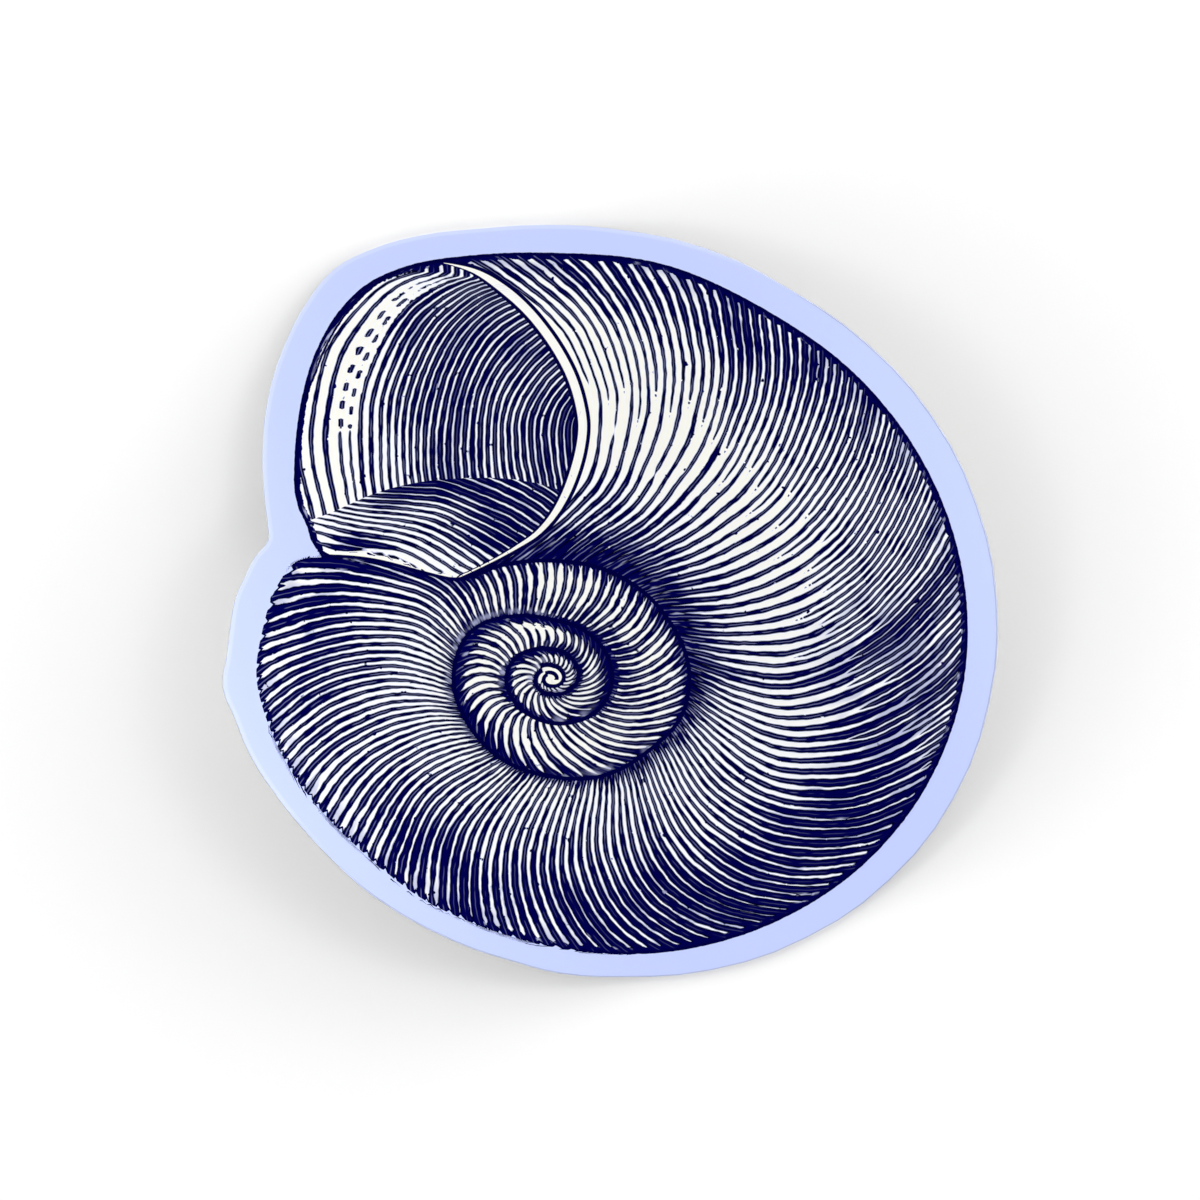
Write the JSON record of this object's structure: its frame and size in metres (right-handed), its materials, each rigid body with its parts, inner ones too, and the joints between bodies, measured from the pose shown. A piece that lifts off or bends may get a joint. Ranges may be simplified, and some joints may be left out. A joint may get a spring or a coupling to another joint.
{
  "type": "die-cut sticker",
  "caption": "Die-cut vinyl sticker with an engraved spiral shell printed on it, curling up on its release paper.",
  "frame": {"origin": "bottom centre of the sticker's box, on the flat strip that it rests on", "axes": "+Z out of the printed face, +X to the right of the print, +Y to the top of the print"},
  "size_m": [0.0882, 0.0858, 0.0093],
  "materials": {
    "printed_vinyl": "satin clear laminate over a pale lavender-blue border and a navy and cream shell print",
    "release_paper": "smooth uncoated back of a siliconised release paper"
  },
  "bodies": {
    "root": {"vinyl_film": "printed_vinyl", "backing_paper": "release_paper"}
  },
  "joints": []
}
